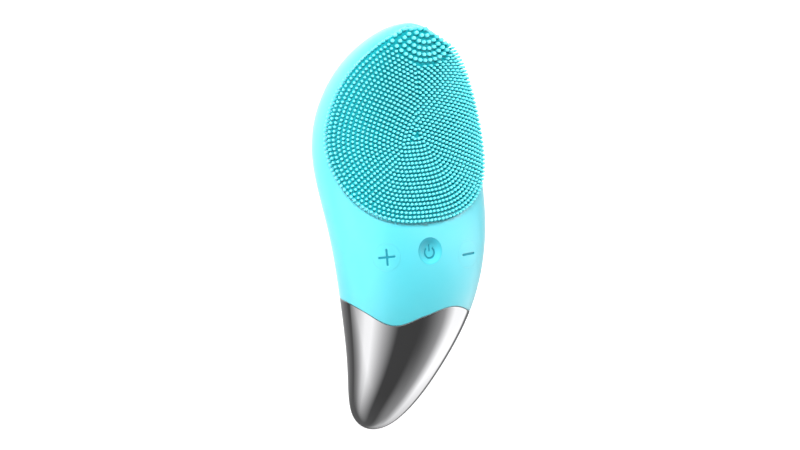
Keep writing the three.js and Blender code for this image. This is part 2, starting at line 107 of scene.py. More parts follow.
KEY_RADIUS = 4.66
KEY_HOLE = 4.685
KEY_THICKNESS = 1.2
STEM_RADIUS = 1.7
STEM_GAP = 0.3
DISH_DEPTH = 0.85
DISH_FLOOR = 1.7
DISH_RIM = KEY_RADIUS - 0.15
SYMBOL_DEPTH = 0.25
SYMBOL_LEAN = math.radians(5)
KEY_SIDES = 72
CAP_SPACING = 0.32
CAP_CLEARANCE = 0.14

ISLAND_FOOT = 10.6
ISLAND_EDGE = 8.3
CONTACT_HOLE = 1.45
TAIL_WALL = 1.3

# ------------------------------------------------------------------ the frame


def box_centre(node):
    """The middle of a node's box in the row frame, in millimetres."""
    low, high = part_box(node)
    return (low + high) / 2 * 1000


tail_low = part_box("tail_cap")[0].y * 1000
head_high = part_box("silicone_sleeve")[1].y * 1000
HALF_LENGTH = (head_high - tail_low) / 2

plunger_top = box_centre("power_switch_plunger")
plunger_top.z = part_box("power_switch_plunger")[1].z * 1000
SHIFT = np.array(plunger_top - POWER_PLUNGER_TOP)
TABLE = -SHIFT[2]
TURN_MIDDLE_Y = (head_high + tail_low) / 2 - SHIFT[1]


def own_place(node):
    """Where a node lies in plan in the body's own frame."""
    centre = box_centre(node)
    return centre.x - SHIFT[0], centre.y - SHIFT[1]


KEYS = {name: own_place(name + "_switch_plunger") for name in ("plus", "power", "minus")}
CONTACTS = [own_place("charge_contact_" + side) for side in ("left", "right")]
ISLAND = (0.0, (CONTACTS[0][1] + CONTACTS[1][1]) / 2)


def to_row(points):
    return (np.asarray(points, float) + SHIFT) / 1000


# ------------------------------------------------------------------ the body surface


def spline(controls, at):
    """A clamped uniform cubic B-spline through its first and last control values."""
    last = len(controls) - 1
    place = np.clip(at, 0, 1) * last
    index = np.minimum(place.astype(int), last - 1)
    f = place - index
    padded = np.concatenate([[2 * controls[0] - controls[1]], controls,
                             [2 * controls[-1] - controls[-2]]])
    weights = ((1 - f) ** 3, 3 * f ** 3 - 6 * f ** 2 + 4,
               -3 * f ** 3 + 3 * f ** 2 + 3 * f + 1, f ** 3)
    return sum(w * padded[index + k] for k, w in enumerate(weights)) / 6


def turn_at(y):
    """Turn runs from 0 at the tail tip to pi at the apex of the head."""
    return np.arccos(np.clip((TURN_MIDDLE_Y - np.asarray(y, float)) / HALF_LENGTH, -1, 1))


def section(turn):
    """A section's place along Y, half its width, half its depth and the height of its middle."""
    along = np.asarray(turn, float) / math.pi
    width = spline(FULLNESS, along) * np.sin(turn)
    y = TURN_MIDDLE_Y - HALF_LENGTH * np.cos(turn)
    return y, width, width * spline(FLATNESS, along), spline(SPINE, along)


def signed_power(value, power):
    """Raises the size of a value to a power and keeps its sign."""
    return np.sign(value) * np.abs(value) ** power


def bare_surface(turn, angle):
    """A point of the body's surface, whose sections are rounded squares."""
    y, width, depth, rise = section(turn)
    x = width * signed_power(np.cos(angle), 2 / SQUARENESS)
    z = rise + depth * signed_power(np.sin(angle), 2 / SQUARENESS)
    return np.stack(np.broadcast_arrays(x, y, z), -1)


def surface_normal(turn, angle):
    """The unit normal, pointing out of the body."""
    step = 1e-3
    along = bare_surface(turn + step, angle) - bare_surface(turn - step, angle)
    across = bare_surface(turn, angle + step) - bare_surface(turn, angle - step)
    normal = np.cross(along, across)
    return normal / (np.linalg.norm(normal, axis=-1, keepdims=True) + 1e-12)


def surface(turn, angle, lift=0.0):
    """A lifted point. Angle 0 is the +X side, a quarter turn the front, a half turn the -X side."""
    turn, angle, lift = np.broadcast_arrays(turn, angle, lift)
    return bare_surface(turn, angle) + surface_normal(turn, angle) * lift[..., None]


def angle_at(x, y, side=1):
    """The section angle over or under a place in the plan view."""
    _, width, _, _ = section(turn_at(y))
    cosine = signed_power(np.clip(x / width, -1, 1), SQUARENESS / 2)
    angle = np.arccos(cosine)
    return angle if side > 0 else 2 * math.pi - angle


def plan_place(x, y, lift=0.0, side=1):
    """The turn and angle whose lifted point stands over a place in plan, found step by step."""
    seek_x, seek_y = x, y
    for _ in range(6):
        spot = surface(turn_at(seek_y), angle_at(seek_x, seek_y, side), lift)
        seek_x, seek_y = seek_x + x - spot[..., 0], seek_y + y - spot[..., 1]
    return turn_at(seek_y), angle_at(seek_x, seek_y, side)


def over_plan(x, y, lift=0.0, side=1):
    """The lifted point that stands over a place in plan, on the front or with side -1 the back."""
    return surface(*plan_place(x, y, lift, side), lift)


def seam_height(angle):
    """The wavy seam between sleeve and tail, as a height along Y for each angle."""
    away = (np.mod(angle - SEAM_WAVE_ANGLE + math.pi, 2 * math.pi) - math.pi) / SEAM_WAVE_WIDTH
    step = away * np.exp((1 - away ** 2) / 2)
    swing = -2.5 * np.cos(angle) - 2.1 * np.sin(angle)
    ripple = 0.6 * np.cos(2 * angle) + 0.9 * np.sin(2 * angle)
    return SEAM_MIDDLE + swing + ripple - SEAM_WAVE * step


def pad_power(up):
    """The power that squares the pad's egg, above and below its middle."""
    return 2 / np.where(up > 0, PAD_SQUARENESS["upper"], PAD_SQUARENESS["lower"])


def pad_place(around, share=1.0, grow=0.0):
    """Turn and angle of a place on the pad; share is 1 on its outline and 0 in its middle."""
    power = pad_power(np.sin(around))
    up = share * signed_power(np.sin(around), power)
    half_angle = PAD["half_angle"] + grow / PAD["radius"]
    swing = share * half_angle * signed_power(np.cos(around), power)
    front = math.pi / 2 + PAD["turned"] - PAD["tilt"] * up
    return turn_at(PAD["middle"] + (PAD["half_length"] + grow) * up), front - swing


# ------------------------------------------------------------------ mesh building

# How far apart a staggered grid's rows lie, as a share of its spacing.
ROW_SHARE = 0.866


class Mesher:
    """Collects points and faces, then makes one smooth mesh piece of them."""

    def __init__(self):
        self.points = []
        self.faces = []
        self.looks = []
        self.count = 0

    def add(self, points, faces, look=0, flip=False):
        points = np.asarray(points, float).reshape(-1, 3)
        for face in faces:
            indices = [int(i) + self.count for i in face]
            self.faces.append(indices[::-1] if flip else indices)
        self.looks.extend([look] * len(faces))
        self.points.append(points)
        self.count += len(points)

    def rings(self, rings, look=0, flip=False, close_start=None, close_end=None):
        """Joins rings of equal length. A closing point turns an end into a fan."""
        rings = np.asarray(rings, float)
        rows, size = rings.shape[:2]
        faces = []
        for row in range(rows - 1):
            for i in range(size):
                j = (i + 1) % size
                faces.append((row * size + i, row * size + j,
                              (row + 1) * size + j, (row + 1) * size + i))
        points = [rings.reshape(-1, 3)]
        extra = rows * size
        for point, row, back in ((close_start, 0, True), (close_end, rows - 1, False)):
            if point is None:
                continue
            points.append(np.asarray(point, float).reshape(1, 3))
            for i in range(size):
                j = (i + 1) % size
                a, b = (j, i) if back else (i, j)
                faces.append((row * size + a, row * size + b, extra))
            extra += 1
        self.add(np.concatenate(points), faces, look, flip)

    def piece(self, name, body, materials, slot, replaces=(), merge=0.004):
        """Makes the object, with points closer than merge joined, and hides the CAD parts it
        replaces.
        """
        mesh = bpy.data.meshes.new(name)
        mesh.from_pydata(to_row(np.concatenate(self.points)).tolist(), [], self.faces)
        mesh.polygons.foreach_set("material_index", np.array(self.looks, dtype=np.int32))
        for material in materials:
            mesh.materials.append(material)
        work = bmesh.new()
        work.from_mesh(mesh)
        if merge:
            bmesh.ops.remove_doubles(work, verts=work.verts, dist=merge / 1000)
        for face in work.faces:
            face.smooth = True
        work.to_mesh(mesh)
        work.free()
        obj = bpy.data.objects.new(name, mesh)
        bpy.context.scene.collection.objects.link(obj)
        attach(obj, body)
        if replaces:
            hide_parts(*replaces)
        return obj


def triangulate(points, loops, keep):
    """Triangles of plane points that follow closed loops, where keep() is true."""
    points = np.asarray(points, float)
    coords = [Vector(p) for p in points]
    edges = []
    for loop in loops:
        start = len(coords)
        coords.extend(Vector(p) for p in loop)
        size = len(loop)
        edges.extend((start + i, start + (i + 1) % size) for i in range(size))
    verts, _, faces, _, _, _ = delaunay_2d_cdt(coords, edges, [], 0, 1e-7)
    verts = np.array([tuple(v) for v in verts])
    faces = np.array([tuple(f) for f in faces])
    middle = verts[faces].mean(axis=1)
    corner = verts[faces]
    turned = np.cross(corner[:, 1] - corner[:, 0], corner[:, 2] - corner[:, 0])
    faces[turned < 0] = faces[turned < 0][:, ::-1]
    return verts, faces[keep(middle) & (np.abs(turned) > 1e-9)]


def lattice(low, high, spacing):
    """A staggered grid of plane points, in near-equal triangles."""
    rows = np.arange(low[1], high[1], spacing * ROW_SHARE)
    columns = np.arange(low[0], high[0], spacing)
    grid = [(x + (row % 2) * spacing / 2, y) for row, y in enumerate(rows) for x in columns]
    return np.array(grid)


def clear_of(points, loops, distance):
    """The points that lie further than a distance from every loop."""
    corners = np.concatenate(loops)
    tree = kdtree.KDTree(len(corners))
    for i, corner in enumerate(corners):
        tree.insert((corner[0], corner[1], 0), i)
    tree.balance()
    near = np.array([tree.find((p[0], p[1], 0))[2] for p in points])
    return points[near > distance]


def circle(centre, radius, count):
    """The x and y of evenly spaced points on a circle."""
    around = np.arange(count) / count * 2 * math.pi
    return centre[0] + radius * np.cos(around), centre[1] + radius * np.sin(around)


# ------------------------------------------------------------------ silicone sleeve

# The skin is meshed flat, with angle across and turn along, at about its real lengths. It
# stops just short of the apex, where a small fan closes it.
ACROSS = 22
ALONG = 55
POLE_GAP = 0.045

OUTER_SPACING = 1.0
LINING_SPACING = 2.0
BACK_SPACING = 0.7
# How near an edge or a side a grid point may lie, as a share of the spacing.
EDGE_CLEARANCE = 0.55
SIDE_CLEARANCE = 0.4


def skin_domain(turn, angle):
    """Where a turn and an angle lie on the flat mesh."""
    return np.stack([angle * ACROSS, turn * ALONG], -1)


def skin_patch(mesher, lift, spacing, seam_offset, pad_grow, back_holes, flip):
    """The whole sleeve skin at one lift, with its openings left out.

    A pad_grow of None leaves no opening for the pad, as the lining runs on beneath it.
    """
    wide = 2 * math.pi * ACROSS
    columns = int(wide / spacing)
    angles = np.linspace(0, 2 * math.pi, columns + 1)
    foot = skin_domain(turn_at(seam_height(angles) + seam_offset), angles)
    top = math.pi - POLE_GAP
    side_turns = np.linspace(foot[0, 1] / ALONG, top, int((top * ALONG - foot[0, 1]) / spacing))
    sides = side_turns[1:-1] * ALONG
    head = skin_domain(np.full(columns + 1, top), angles)
    right = np.stack([np.full(len(sides), wide), sides], -1)
    left = np.stack([np.zeros(len(sides)), sides[::-1]], -1)
    border = np.concatenate([foot, right, head[::-1], left])
    holes = []
    if pad_grow is not None:
        around = np.linspace(0, 2 * math.pi, int(PAD_EDGE_LENGTH / spacing), endpoint=False)
        holes.append(skin_domain(*pad_place(around, 1, pad_grow)))
    for centre in KEYS.values():
        x, y = circle(centre, KEY_HOLE, KEY_SIDES)
        holes.append(skin_domain(*plan_place(x, y, lift)))
    for centre, radius in back_holes:
        x, y = circle(centre, radius, int(2 * math.pi * radius / min(spacing, BACK_SPACING)))
        holes.append(skin_domain(*plan_place(x, y, lift, -1)))
    points = lattice((0, foot[:, 1].min()), (wide, top * ALONG), spacing)
    points = clear_of(points, [border, *holes], spacing * EDGE_CLEARANCE)

    def keep(middle):
        angle, turn = middle[:, 0] / ACROSS, middle[:, 1] / ALONG
        spot = bare_surface(turn, angle)
        good = spot[:, 1] > np.interp(angle, angles, seam_height(angles)) + seam_offset
        if pad_grow is not None:
            up = (spot[:, 1] - PAD["middle"]) / (PAD["half_length"] + pad_grow)
            power = 2 / pad_power(up)
            swing = np.abs(math.pi / 2 + PAD["turned"] - PAD["tilt"] * up - angle)
            half_angle = PAD["half_angle"] + pad_grow / PAD["radius"]
            good &= np.abs(up) ** power + (swing / half_angle) ** power > 1
        spot = surface(turn, angle, lift)
        for x, y in KEYS.values():
            good &= (np.hypot(spot[:, 0] - x, spot[:, 1] - y) > KEY_HOLE) | (angle > math.pi)
        for (x, y), radius in back_holes:
            good &= (np.hypot(spot[:, 0] - x, spot[:, 1] - y) > radius) | (angle < math.pi)
        return good

    margin = SIDE_CLEARANCE * spacing
    inside = (points[:, 0] > margin) & (points[:, 0] < wide - margin)
    verts, faces = triangulate(points[inside], [border, *holes], keep)
    mesher.add(surface(verts[:, 1] / ALONG, verts[:, 0] / ACROSS, lift), faces, flip=flip)
    ring = surface(np.full(columns, top), angles[:-1], lift)
    pole = bare_surface(np.array(math.pi), np.array(0.0)) + np.array([0, lift, 0])
    mesher.rings([ring], close_end=pole, flip=flip)


def silicone_sleeve(material):
    """The sleeve: its skin and lining, its lips at the seam and pad, and its key holes."""
    mesher = Mesher()
    # Each edge is a run of (offset, lift) pairs from the skin round its lip and down.
    seam_lip = [(0.45, 0), (0.3, 0), (0.16, -0.03), (0.08, -0.1), (0.05, -0.2),
                (0.05, SLEEVE_INSIDE)]
    pad_lip = [(0.4, 0), (0.25, 0), (0.14, -0.03), (0.08, -0.1), (0.06, -0.2),
               (0.06, PAD_FLOOR)]

    skin_patch(mesher, 0, OUTER_SPACING, seam_lip[0][0], pad_lip[0][0],
               [(ISLAND, ISLAND_FOOT)], flip=False)
    skin_patch(mesher, SLEEVE_INSIDE, LINING_SPACING, seam_lip[-1][0], None,
               [(contact, CONTACT_HOLE) for contact in CONTACTS], flip=True)

    columns = int(2 * math.pi * ACROSS / OUTER_SPACING)
    angles = np.linspace(0, 2 * math.pi, columns + 1)[:-1]
    rings = [surface(turn_at(seam_height(angles) + out), angles, lift) for out, lift in seam_lip]
    mesher.rings(rings, flip=True)

    around = np.linspace(0, 2 * math.pi, int(PAD_EDGE_LENGTH / OUTER_SPACING), endpoint=False)
    rings = [surface(*pad_place(around, 1, grow), lift) for grow, lift in pad_lip]
    rings += [surface(*pad_place(around, share), PAD_FLOOR) for share in (0.8, 0.6, 0.4, 0.2)]
    centre = surface(*pad_place(np.array(0.0), 0), PAD_FLOOR)
    mesher.rings(rings, close_end=centre)

    walls = Mesher()
    for centre in KEYS.values():
        x, y = circle(centre, KEY_HOLE, KEY_SIDES)
        walls.rings([over_plan(x, y, lift) for lift in (0, SLEEVE_INSIDE)])
    walls.piece("key_hole_walls", "housing", [material], "silicone")

    charging_island(mesher)
    return mesher.piece("sleeve_skin", "housing", [material], "silicone", ["silicone_sleeve"])


ISLAND_ROWS = 14
ISLAND_SPACING = 1.2
ISLAND_GRID = 9
CONTACT_SIDES = 40
# Each contact hole's lip, as (widening, height) pairs from the flat up into the hole.
CONTACT_LIP = [(0.2, 0), (0.08, 0.03), (0.02, 0.1), (0, 0.25)]


def charging_island(mesher):
    """The flat foot on the back, blended into the skin, with a hole for each contact."""
    count = int(2 * math.pi * ISLAND_FOOT / BACK_SPACING)
    rings = []
    for share in np.linspace(0, 1, ISLAND_ROWS):
        radius = ISLAND_FOOT + (ISLAND_EDGE - ISLAND_FOOT) * share
        x, y = circle(ISLAND, radius, count)
        ring = over_plan(x, y, 0, -1)
        drop = share * share * (3 - 2 * share)
        ring[:, 2] = ring[:, 2] * (1 - drop) + TABLE * drop
        ring[:, 0], ring[:, 1] = x, y
        rings.append(ring)
    mesher.rings(rings, flip=True)
    edge = np.stack(circle(ISLAND, ISLAND_EDGE, count), -1)
    mouth = CONTACT_HOLE + CONTACT_LIP[0][0]
    holes = [np.stack(circle(contact, mouth, CONTACT_SIDES), -1) for contact in CONTACTS]
    points = lattice((-ISLAND_GRID, ISLAND[1] - ISLAND_GRID),
                     (ISLAND_GRID, ISLAND[1] + ISLAND_GRID), ISLAND_SPACING)
    points = points[np.hypot(points[:, 0], points[:, 1] - ISLAND[1]) < ISLAND_EDGE]
    points = clear_of(points, [edge, *holes], ISLAND_SPACING / 2)
    chord = mouth * math.cos(math.pi / CONTACT_SIDES)

    def keep(middle):
        good = np.hypot(middle[:, 0], middle[:, 1] - ISLAND[1]) < ISLAND_EDGE
        for x, y in CONTACTS:
            good &= np.hypot(middle[:, 0] - x, middle[:, 1] - y) > chord
        return good

    verts, faces = triangulate(points, [edge, *holes], keep)
    flat = np.column_stack([verts, np.full(len(verts), TABLE)])
    mesher.add(flat, faces, flip=True)
    for contact in CONTACTS:
        rings = []
        for out, height in CONTACT_LIP:
            x, y = circle(contact, CONTACT_HOLE + out, CONTACT_SIDES)
            rings.append(np.stack([x, y, np.full(CONTACT_SIDES, TABLE + height)], -1))
        x, y = circle(contact, CONTACT_HOLE, CONTACT_SIDES)
        rings.append(over_plan(x, y, SLEEVE_INSIDE, -1))
        mesher.rings(rings, flip=True)


# ------------------------------------------------------------------ bristle pad

PAD_SIDES = 240
PAD_UNDERSIDE = PAD_FLOOR + 0.1
# The pad's wall, as (share of its outline, lift) pairs from beneath it up to its bed.
PAD_WALL = [(0.5, PAD_UNDERSIDE), (1, PAD_UNDERSIDE), (1, 0.2), (0.9975, 0.45), (0.991, 0.64),
            (0.98, 0.73), (0.965, PAD_SKIN)]
PAD_BED = PAD_WALL[-1:] + [(share, PAD_SKIN) for share in np.linspace(0.93, 0.04, 26)]

OUTLINE_POINTS = 720
OUTLINE_STEP = 0.4
MOST_RINGS = 40
INSET_SLACK = 0.02


def pad_skin(materials):
    """The moulded skin that the bristles stand on: a bed in painted shade, and a wall with its own
    look.
    """
    mesher = Mesher()
    around = np.linspace(0, 2 * math.pi, PAD_SIDES, endpoint=False)
    start = surface(*pad_place(np.array(0.0), 0), PAD_UNDERSIDE)
    end = surface(*pad_place(np.array(0.0), 0), PAD_SKIN)
    rings = [surface(*pad_place(around, share), lift) for share, lift in PAD_BED]
    mesher.rings(rings, close_end=end)
    rings = [surface(*pad_place(around, share), lift) for share, lift in PAD_WALL]
    mesher.rings(rings, close_start=start, look=1)
    return mesher.piece("pad_skin", "housing", materials, "bristle_silicone", ["bristle_pad"])


class Developed:
    """The pad laid flat: u runs across each section, v up the front line, both in arc length."""

    def __init__(self):
        self.turns = np.linspace(turn_at(0), math.pi, 200)
        self.swings = np.linspace(0, math.pi / 2, 121)
        front = bare_surface(self.turns, math.pi / 2)
        steps = np.linalg.norm(np.diff(front, axis=0), axis=-1)
        self.heights = np.concatenate([[0], np.cumsum(steps)])
        lines = bare_surface(self.turns[:, None], math.pi / 2 - self.swings[None, :])
        steps = np.linalg.norm(np.diff(lines, axis=1), axis=-1)
        self.arcs = np.concatenate([np.zeros((len(self.turns), 1)), np.cumsum(steps, 1)], 1)

    def row(self, v):
        place = np.interp(v, self.heights, np.arange(len(self.heights)))
        index = min(int(place), len(self.heights) - 2)
        f = place - index
        return self.arcs[index] * (1 - f) + self.arcs[index + 1] * f

    def flat(self, turn, swing):
        v = np.interp(turn, self.turns, self.heights)
        return np.sign(swing) * np.interp(abs(swing), self.swings, self.row(v)), v

    def unflat(self, u, v):
        swing = np.sign(u) * np.interp(abs(u), self.row(v), self.swings)
        return np.interp(v, self.heights, self.turns), math.pi / 2 - swing


def resampled(loop, spacing, offset):
    """Evenly spaced points on a closed loop."""
    closed = np.concatenate([loop, loop[:1]])
    steps = np.linalg.norm(np.diff(closed, axis=0), axis=1)
    length = np.concatenate([[0], np.cumsum(steps)])
    count = max(int(round(length[-1] / spacing)), 1)
    at = (np.arange(count) + offset) / count * length[-1]
    return np.stack([np.interp(at, length, closed[:, k]) for k in (0, 1)], -1)


def inset_loop(outline, distance):
    """The part of a convex outline's parallel curve that keeps its full distance."""
    ahead = np.roll(outline, -1, axis=0) - np.roll(outline, 1, axis=0)
    ahead /= np.linalg.norm(ahead, axis=1, keepdims=True)
    inward = np.stack([-ahead[:, 1], ahead[:, 0]], -1)
    moved = outline + inward * distance
    gap = np.linalg.norm(moved[:, None, :] - outline[None, :, :], axis=-1).min(axis=1)
    return moved[gap > distance - INSET_SLACK]


def bristle_places(developed):
    """Fine bristles in rings that follow the pad's outline, thick ones in arcs at the apex."""
    around = np.linspace(0, 2 * math.pi, OUTLINE_POINTS, endpoint=False)
    turns, angles = pad_place(around)
    outline = np.array([developed.flat(t, math.pi / 2 - a) for t, a in zip(turns, angles)])
    outline = resampled(outline, OUTLINE_STEP, 0)
    apex = np.array([THICK_CENTRE, developed.heights[-1]])

    fine = []
    for ring in range(MOST_RINGS):
        loop = inset_loop(outline, FINE_EDGE + ring * FINE_PITCH)
        if len(loop) < 3:
            break
        fine.append(resampled(loop, FINE_SPACING, (ring % 2) / 2))
    thick = []
    border = inset_loop(outline, THICK_EDGE)
    for row, radius in enumerate(np.arange(THICK_REACH, 1, -THICK_PITCH)):
        count = int(2 * math.pi * radius / THICK_PITCH)
        bends = (np.arange(count) + (row % 2) / 2) / count * 2 * math.pi
        places = apex + radius * np.stack([np.cos(bends), np.sin(bends)], -1)
        thick.append(places[inside_outline(places, border)])
    fine, thick = np.concatenate(fine), np.concatenate(thick)
    return clear_of(fine, [thick], THICK_CLEARANCE), thick


def bristles(name, places, developed, profile, sides, material, seed):
    """One mesh of round-tipped bristles, each nearly square to the pad.

    Its reach attribute runs from 0 at each bristle's foot to 1 at its tip.
    """
    draw = np.random.default_rng(seed)
    turn, angle = np.array([developed.unflat(u, v) for u, v in places]).T
    foot = surface(turn, angle, PAD_SKIN - BRISTLE_SUNK)
    axis = surface_normal(turn, angle) + draw.normal(0, BRISTLE_LEAN, (len(places), 3))
    axis /= np.linalg.norm(axis, axis=1, keepdims=True)
    side = np.cross(axis, [0, 1, 0])
    side /= np.linalg.norm(side, axis=1, keepdims=True)
    third = np.cross(axis, side)
    stretch = 1 + draw.normal(0, BRISTLE_STRETCH, len(places))
    spin = draw.uniform(0, 2 * math.pi, len(places))
    radii = np.array([r for r, _ in profile])
    heights = np.array([h for _, h in profile])
    around = np.arange(sides) / sides * 2 * math.pi
    circle_at = around[None, :] + spin[:, None]
    spoke = (np.cos(circle_at)[..., None] * side[:, None, :]
             + np.sin(circle_at)[..., None] * third[:, None, :])
    rings = (foot[:, None, None, :]
             + radii[None, :, None, None] * spoke[:, None, :, :]
             + (heights[None, :] * stretch[:, None])[:, :, None, None] * axis[:, None, None, :])
    tips = foot + axis * (heights[-1] * stretch)[:, None]
    per = len(profile) - 1
    rings = rings[:, :per]
    base = np.arange(per - 1)[:, None] * sides
    i = np.arange(sides)
    j = (i + 1) % sides
    quads = np.stack([base + i, base + j, base + sides + j, base + sides + i], -1).reshape(-1, 4)
    fan = np.stack([(per - 1) * sides + i, (per - 1) * sides + j, np.full(sides, per * sides)], -1)
    points = np.concatenate([rings.reshape(len(places), -1, 3), tips[:, None, :]], axis=1)
    stride = per * sides + 1
    mesher = Mesher()
    faces = []
    for k in range(len(places)):
        faces.extend((quads + k * stride).tolist())
        faces.extend((fan + k * stride).tolist())
    mesher.add(points, faces)
    piece = mesher.piece(name, "housing", [material], "bristle_silicone", merge=0)
    reach = np.append(np.repeat(heights[:per], sides), heights[-1]) / heights[-1]
    layer = piece.data.attributes.new("reach", "FLOAT", "POINT")
    layer.data.foreach_set("value", np.tile(reach, len(places)).astype(np.float32))
    return piece


# ------------------------------------------------------------------ chromed tail

TAIL_SIDES = 240
TAIL_ROWS = 150
TAIL_INNER_ROWS = 59
# The tail's lip, as (distance below the seam, lift) pairs from its inside to its outside.
TAIL_LIP = [(0.06, -TAIL_WALL), (0.06, -0.2), (0.07, -0.1), (0.1, -0.04), (0.14, -0.01),
            (0.18, 0)]


def chromed_tail(material):
    """The tail cap: a thin shell with a lip at the seam, closed on its tip."""
    mesher = Mesher()
    angles = np.linspace(0, 2 * math.pi, TAIL_SIDES, endpoint=False)
    rings = [surface(turn_at(seam_height(angles) - down), angles, lift) for down, lift in TAIL_LIP]
    start = turn_at(seam_height(angles) - TAIL_LIP[-1][0])
    for share in np.linspace(0, 1, TAIL_ROWS + 1)[1:-1]:
        rings.append(surface(start * (1 - share), angles, 0))
    tip = bare_surface(np.array(0.0), np.array(0.0))
    mesher.rings(rings, close_end=tip, flip=True)
    inner = []
    start = turn_at(seam_height(angles) - TAIL_LIP[0][0])
    for share in np.linspace(0, 1, TAIL_INNER_ROWS + 1)[:-1]:
        inner.append(surface(start * (1 - share), angles, -TAIL_WALL))
    inner_tip = tip + np.array([0, TAIL_WALL, 0])
    mesher.rings(inner, close_end=inner_tip)
    return mesher.piece("tail_shell", "housing", [material], "chrome_plate", ["tail_cap"])


# ------------------------------------------------------------------ keys and their symbols


def lean(points):
    """Turns a symbol's points, as the symbols sit a little askew."""
    c, s = math.cos(SYMBOL_LEAN), math.sin(SYMBOL_LEAN)
    return np.asarray(points, float) @ np.array([[c, s], [-s, c]])


def rounded_bar(start, end, half):
    """A stroke with round ends."""
    start, end = np.array(start, float), np.array(end, float)
    heading = math.atan2(*(end - start)[::-1])
    bends = np.linspace(-math.pi / 2, math.pi / 2, 7)
    ends = [(end, heading), (start, heading + math.pi)]
    return np.array([spot + half * np.array([math.cos(h + b), math.sin(h + b)])
                     for spot, h in ends for b in bends])


def plus_outline():
    """A cross whose four arms have slightly rounded ends."""
    half, reach, soft = 0.37, 2.9, 0.2
    corner = []
    for quarter in range(4):
        c, s = math.cos(quarter * math.pi / 2), math.sin(quarter * math.pi / 2)
        arm = [(half, half), (reach - soft, half), (reach, half - soft),
               (reach, soft - half), (reach - soft, -half), (half, -half)][::-1]
        corner += [(x * c - y * s, x * s + y * c) for x, y in arm[:-1]]
    return [np.array(corner)]


def minus_outline():
    reach, half = 2.5, 0.38
    return [rounded_bar((-reach, 0), (reach, 0), half)]


def power_outline():
    """An open ring with a bar through its gap."""
    radius, half, opening = 1.85, 0.29, math.radians(36)
    drop, bar_foot, bar_top = 0.6, 0.1, 1.95
    bends = np.linspace(math.pi / 2 + opening, 2.5 * math.pi - opening, 40)
    outer = [(radius + half) * np.array([math.cos(b), math.sin(b)]) for b in bends]
    inner = [(radius - half) * np.array([math.cos(b), math.sin(b)]) for b in bends[::-1]]
    ring = np.array(outer + inner) - (0, drop)
    return [ring, rounded_bar((0, bar_foot), (0, bar_top), half)]


def inside_outline(points, outline):
    """Even-odd test of plane points against a closed outline."""
    x, y = points[:, 0], points[:, 1]
    hit = np.zeros(len(points), bool)
    for (x0, y0), (x1, y1) in zip(outline, np.roll(outline, -1, axis=0)):
        crosses = (y0 > y) != (y1 > y)
        reach = x0 + (y - y0) * (x1 - x0) / (y1 - y0 if y1 != y0 else 1e-12)
        hit ^= crosses & (x < reach)
    return hit


def dish_drop(radius):
    """How far the power key's finger dish sinks below the skin."""
    share = np.clip((radius - DISH_FLOOR) / (DISH_RIM - DISH_FLOOR), 0, 1)
    return DISH_DEPTH * (1 + np.cos(math.pi * share)) / 2


def key_cap(name, outlines, materials):
    """A cap that follows the skin, with its symbol sunk into it and a stem beneath."""
    centre = np.array(KEYS[name])
    outlines = [lean(outline) for outline in outlines]

    def cap_point(plane, sunk):
        x, y = plane[:, 0] + centre[0], plane[:, 1] + centre[1]
        drop = dish_drop(np.hypot(plane[:, 0], plane[:, 1])) if name == "power" else 0
        return over_plan(x, y, -drop - sunk)

    edge = np.stack(circle((0, 0), KEY_RADIUS, KEY_SIDES), -1)
    points = lattice((-KEY_RADIUS, -KEY_RADIUS), (KEY_RADIUS, KEY_RADIUS), CAP_SPACING)
    points = points[np.hypot(points[:, 0], points[:, 1]) < KEY_RADIUS]
    points = clear_of(points, [edge, *outlines], CAP_CLEARANCE)

    def in_symbol(middle):
        return np.any([inside_outline(middle, outline) for outline in outlines], axis=0)

    def in_cap(middle):
        return np.hypot(middle[:, 0], middle[:, 1]) < KEY_RADIUS

    mesher = Mesher()
    verts, faces = triangulate(points, [edge, *outlines],
                               lambda m: in_cap(m) & ~in_symbol(m))
    mesher.add(cap_point(verts, 0), faces)
    verts, faces = triangulate(points, [edge, *outlines], in_symbol)
    mesher.add(cap_point(verts, SYMBOL_DEPTH), faces, look=1)
    for outline in outlines:
        walls = [cap_point(outline, sunk) for sunk in (0, SYMBOL_DEPTH * 0.5, SYMBOL_DEPTH)]
        mesher.rings(walls, look=1)
    mesher.piece(name + "_cap", name + "_key", materials, "silicone", [name + "_button"])

    under = Mesher()
    stem_foot = POWER_PLUNGER_TOP.z + STEM_GAP
    x, y = circle(centre, KEY_RADIUS, KEY_SIDES)
    rings = [over_plan(x, y, 0), over_plan(x, y, -KEY_THICKNESS)]
    x, y = circle(centre, STEM_RADIUS, KEY_SIDES)
    rings.append(over_plan(x, y, -KEY_THICKNESS))
    rings.append(np.stack([x, y, np.full(KEY_SIDES, stem_foot)], -1))
    under.rings(rings, flip=True, close_end=[centre[0], centre[1], stem_foot])
    under.piece(name + "_stem", name + "_key", materials[:1], "silicone")


# ------------------------------------------------------------------ materials


def new_material(name, color, roughness, metallic=0.0):
    """A material with its nodes, links, shader and object coordinates, ready to be built on."""
    material = bpy.data.materials.new(name)
    material.use_nodes = True
    nodes, links = material.node_tree.nodes, material.node_tree.links
    shader = nodes["Principled BSDF"]
    shader.inputs["Base Color"].default_value = (*color, 1)
    shader.inputs["Roughness"].default_value = roughness
    shader.inputs["Metallic"].default_value = metallic
    place = nodes.new("ShaderNodeTexCoord")
    return material, nodes, links, shader, place.outputs["Object"]


def noise(nodes, links, place, scale, detail=4.0, roughness=0.55):
    """Even noise. The scale is in cells per metre."""
    node = nodes.new("ShaderNodeTexNoise")
    node.inputs["Scale"].default_value = scale
    node.inputs["Detail"].default_value = detail
    node.inputs["Roughness"].default_value = roughness
    links.new(place, node.inputs["Vector"])
    return node.outputs["Fac"]


